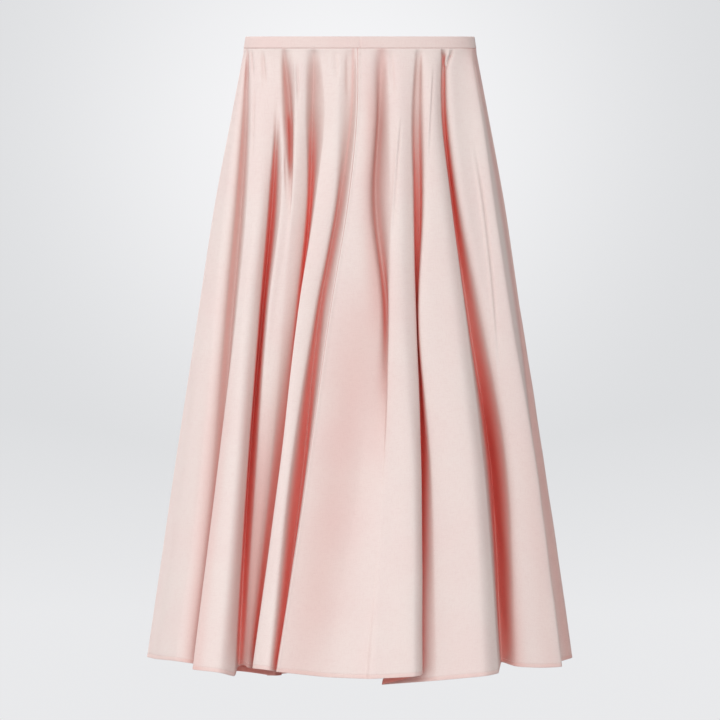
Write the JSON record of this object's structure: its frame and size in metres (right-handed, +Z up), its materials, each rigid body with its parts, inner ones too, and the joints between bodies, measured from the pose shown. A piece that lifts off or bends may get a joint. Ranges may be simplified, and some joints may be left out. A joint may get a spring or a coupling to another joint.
{
  "type": "circle skirt",
  "caption": "Hollow mid-calf skirt whose cloth hangs in deep, uneven flutes from a narrow waistband with a join at the centre front; open at the waist and the hem.",
  "frame": {"origin": "centre of the waist opening, level with the waistband's top edge at the sides", "axes": "+Z up out of the waist opening, -Y the front, +X to the right of someone who faces the front"},
  "size_m": [0.5703, 0.3841, 0.8623],
  "materials": {
    "skirt_cloth": "matt fine plain weave, pale pink, faint sheen",
    "waistband_cloth": "matt fine plain weave, pale pink, doubled and stiffened"
  },
  "bodies": {
    "root": {"waistband": "waistband_cloth", "front_left": "skirt_cloth", "front_right": "skirt_cloth", "back": "skirt_cloth"}
  },
  "joints": []
}
